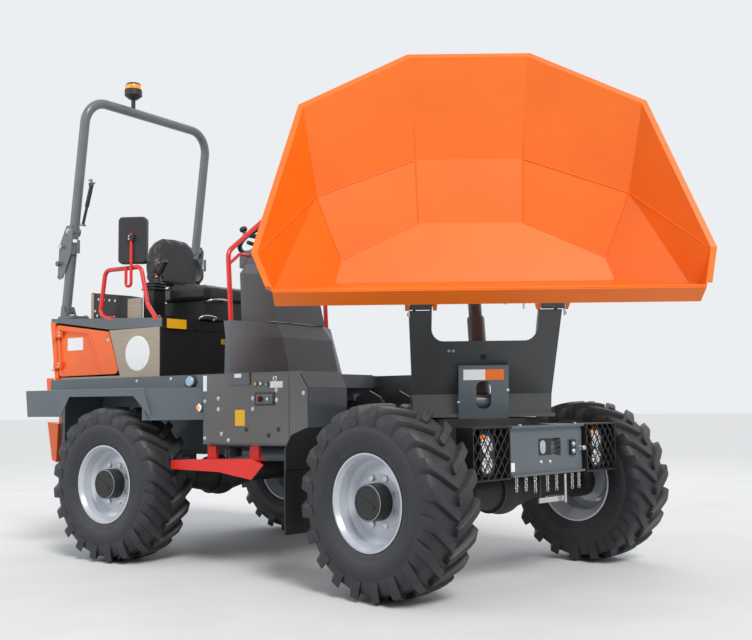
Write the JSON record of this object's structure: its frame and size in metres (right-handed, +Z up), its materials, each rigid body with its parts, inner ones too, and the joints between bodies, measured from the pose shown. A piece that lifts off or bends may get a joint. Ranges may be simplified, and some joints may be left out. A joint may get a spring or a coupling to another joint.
{
  "type": "swivel-skip site dumper",
  "caption": "Articulated site dumper with a tipping, slewing skip on a front tower, an open driver's place with a folding roll bar, and four lugged tyres",
  "frame": {"origin": "middle of the bounding box on the ground, with the machine steered and slewed as in the picture", "axes": "X forward along the rear chassis, Y to the driver's left, Z up"},
  "size_m": [3.9244, 2.1322, 2.98],
  "materials": {
    "orange_paint": "gloss",
    "grey_paint": "satin",
    "panel_paint": "satin",
    "black_paint": "satin",
    "beige_paint": "satin",
    "red_paint": "gloss",
    "rim_silver": "satin",
    "tyre_rubber": "matt",
    "black_plastic": "matt",
    "seat_leather": "grained",
    "rod_chrome": "polished",
    "lamp_lens": "clear",
    "cast_metal": "rough"
  },
  "bodies": {
    "rear_chassis": {"rear_axle": "black_paint", "rear_frame": "grey_paint", "side_panels": "panel_paint", "rear_fenders": "grey_paint", "engine_block": "cast_metal", "engine_housing": "beige_paint", "top_deck": "grey_paint", "rear_hood": "orange_paint", "corner_guards": "orange_paint", "seat_base": "black_paint", "seat_cushion": "seat_leather", "seat_backrest": "seat_leather", "console_cover": "grey_paint", "console_dash": "grey_paint", "steering_wheel": "black_plastic", "side_rails": "red_paint", "dash_rail": "red_paint", "mirrors": "black_plastic", "side_steps": "red_paint", "roll_bar_base": "grey_paint", "seat_box_front": "black_paint", "seat_side_plates": "black_paint"},
    "door_left": {"hood_door_left": "orange_paint"},
    "door_right": {"hood_door_right": "orange_paint"},
    "hoop": {"roll_bar_hoop": "grey_paint", "beacon": "orange_paint"},
    "front_chassis": {"front_axle": "black_paint", "front_frame": "black_paint", "slew_ring": "black_paint", "front_bumper": "grey_paint", "headlamps": "lamp_lens", "front_mudguards": "black_paint"},
    "steer_barrel": {"steer_cylinder_barrel": "black_plastic"},
    "steer_rod": {"steer_cylinder_rod": "rod_chrome"},
    "tower": {"slew_tower": "grey_paint", "tower_cover": "grey_paint"},
    "skip": {"load_skip": "orange_paint"},
    "tip_barrel": {"tip_cylinder_barrel": "black_plastic"},
    "tip_stage": {"tip_cylinder_stage": "rod_chrome"},
    "tip_rod": {"tip_cylinder_rod": "rod_chrome"},
    "wheel_front_right": {"tyre_front_right": "tyre_rubber", "rim_front_right": "rim_silver"},
    "wheel_front_left": {"tyre_front_left": "tyre_rubber", "rim_front_left": "rim_silver"},
    "wheel_rear_right": {"tyre_rear_right": "tyre_rubber", "rim_rear_right": "rim_silver"},
    "wheel_rear_left": {"tyre_rear_left": "tyre_rubber", "rim_rear_left": "rim_silver"}
  },
  "joints": [
    {"name": "steering", "type": "hinge", "parent": "rear_chassis", "child": "front_chassis", "pos_m": [-0.082, 0.149, 0.707], "axis": [0, 0, 1], "range_deg": [-22.5, 43.5]},
    {"name": "steer_barrel_turn", "type": "hinge", "parent": "rear_chassis", "child": "steer_barrel", "pos_m": [-0.642, -0.251, 0.575], "axis": [0, 0, 1], "range_deg": [-3.12, 5.86]},
    {"name": "steer_rod_slide", "type": "slide", "parent": "steer_barrel", "child": "steer_rod", "axis": [0.9821, 0.1882, 0], "range_m": [-0.10017, 0.1918]},
    {"name": "slew", "type": "hinge", "parent": "front_chassis", "child": "tower", "pos_m": [0.80883, -0.01611, 0.774], "axis": [0, 0, 1], "range_deg": [-45.3, 134.7]},
    {"name": "tip", "type": "hinge", "parent": "tower", "child": "skip", "pos_m": [1.07706, -0.40205, 1.305], "axis": [0.8211, 0.5707, 0], "range_deg": [-61, 5]},
    {"name": "tip_barrel_turn", "type": "hinge", "parent": "tower", "child": "tip_barrel", "pos_m": [0.91042, -0.16227, 0.846], "axis": [0.8211, 0.5707, 0], "range_deg": [-57.64, 5]},
    {"name": "tip_stage_slide", "type": "slide", "parent": "tip_barrel", "child": "tip_stage", "axis": [-0.2593, 0.3731, 0.8908], "range_m": [-0.27249, 0.02325]},
    {"name": "tip_rod_slide", "type": "slide", "parent": "tip_stage", "child": "tip_rod", "axis": [-0.2593, 0.3731, 0.8908], "range_m": [-0.27249, 0.02325]},
    {"name": "roll_bar_fold", "type": "hinge", "parent": "rear_chassis", "child": "hoop", "pos_m": [-1.86059, 0.149, 1.945], "axis": [0, -1, 0], "range_deg": [0, 105]},
    {"name": "door_left_swing", "type": "hinge", "parent": "rear_chassis", "child": "door_left", "pos_m": [-1.878, 0.799, 1.195], "axis": [0, 0, 1], "range_deg": [0, 75]},
    {"name": "door_right_swing", "type": "hinge", "parent": "rear_chassis", "child": "door_right", "pos_m": [-1.878, -0.501, 1.195], "axis": [0, 0, -1], "range_deg": [0, 75]},
    {"name": "wheel_front_right_spin", "type": "hinge", "parent": "front_chassis", "child": "wheel_front_right", "pos_m": [0.7822, -0.79632, 0.4225], "axis": [0.1822, 0.9833, 0], "continuous": true},
    {"name": "wheel_front_left_spin", "type": "hinge", "parent": "front_chassis", "child": "wheel_front_left", "pos_m": [1.06357, 0.72183, 0.4225], "axis": [0.1822, 0.9833, 0], "continuous": true},
    {"name": "wheel_rear_right_spin", "type": "hinge", "parent": "rear_chassis", "child": "wheel_rear_right", "pos_m": [-1.122, -0.623, 0.4225], "axis": [0, 1, 0], "continuous": true},
    {"name": "wheel_rear_left_spin", "type": "hinge", "parent": "rear_chassis", "child": "wheel_rear_left", "pos_m": [-1.122, 0.921, 0.4225], "axis": [0, 1, 0], "continuous": true}
  ],
  "couplings": [
    {"joint": "steer_barrel_turn", "follows": "steering", "ratio": 0.13},
    {"joint": "steer_rod_slide", "follows": "steering", "m_per_rad": 0.25},
    {"joint": "tip_barrel_turn", "follows": "tip", "ratio": 0.94},
    {"joint": "tip_stage_slide", "follows": "tip", "m_per_rad": 0.255},
    {"joint": "tip_rod_slide", "follows": "tip", "m_per_rad": 0.255}
  ]
}
